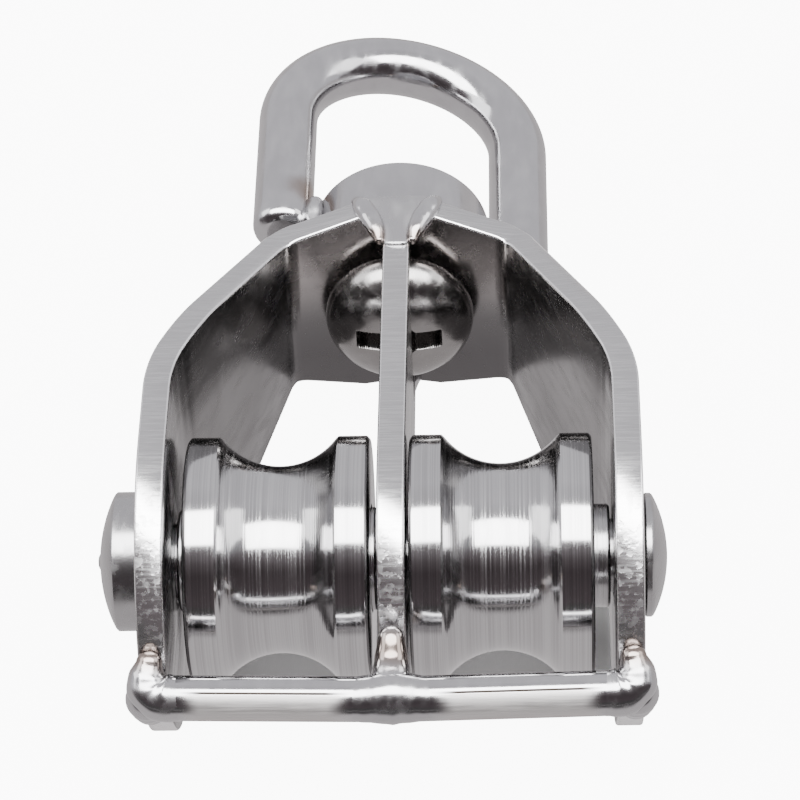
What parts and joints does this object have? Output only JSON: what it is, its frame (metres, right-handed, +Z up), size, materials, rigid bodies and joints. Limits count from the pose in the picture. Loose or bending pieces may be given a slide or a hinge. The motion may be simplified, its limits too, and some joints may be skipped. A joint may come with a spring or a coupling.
{
  "type": "double sheave block",
  "caption": "Small steel lifting block: grooved sheaves side by side in a bent strap frame, a tie bar across the open end and a swivelling round-bar eye.",
  "frame": {"origin": "bottom centre of the whole object's bounding box, on the table that the side plates' rear edges rest on", "axes": "+X along the axle, +Y from the tie bar to the swivel eye, +Z up, away from the table"},
  "size_m": [0.0578, 0.1062, 0.0345],
  "materials": {
    "plate_steel": "dull, drawn stainless strip with ground edges",
    "bar_steel": "polished stainless rod",
    "axle_steel": "satin stainless",
    "sheave_steel": "turned, bright stainless with fine rings",
    "screw_steel": "bright stainless",
    "eye_steel": "polished stainless",
    "weld_steel": "polished weld metal with a brown tint of heat"
  },
  "bodies": {
    "frame": {"frame_strap": "plate_steel", "centre_plate": "plate_steel", "tie_bar": "bar_steel", "axle_rivet": "axle_steel", "distance_sleeve_left": "axle_steel", "distance_sleeve_right": "axle_steel", "bar_weld_left": "weld_steel", "bar_weld_right": "weld_steel", "bar_weld_centre": "weld_steel", "top_weld_front": "weld_steel", "top_weld_rear": "weld_steel"},
    "left_sheave": {"sheave_left": "sheave_steel"},
    "right_sheave": {"sheave_right": "sheave_steel"},
    "swivel": {"swivel_screw": "screw_steel", "eye_boss": "eye_steel", "swivel_eye": "eye_steel", "eye_weld_left": "weld_steel", "eye_weld_right": "weld_steel"}
  },
  "joints": [
    {"name": "left_sheave_spin", "type": "hinge", "parent": "frame", "child": "left_sheave", "pos_m": [0.00128, -0.03051, 0.01725], "axis": [1, 0, 0], "continuous": true},
    {"name": "right_sheave_spin", "type": "hinge", "parent": "frame", "child": "right_sheave", "pos_m": [0.00128, -0.03051, 0.01725], "axis": [1, 0, 0], "continuous": true},
    {"name": "eye_swivel", "type": "hinge", "parent": "frame", "child": "swivel", "pos_m": [0.00128, -0.03051, 0.01725], "axis": [0, 1, 0], "continuous": true}
  ]
}
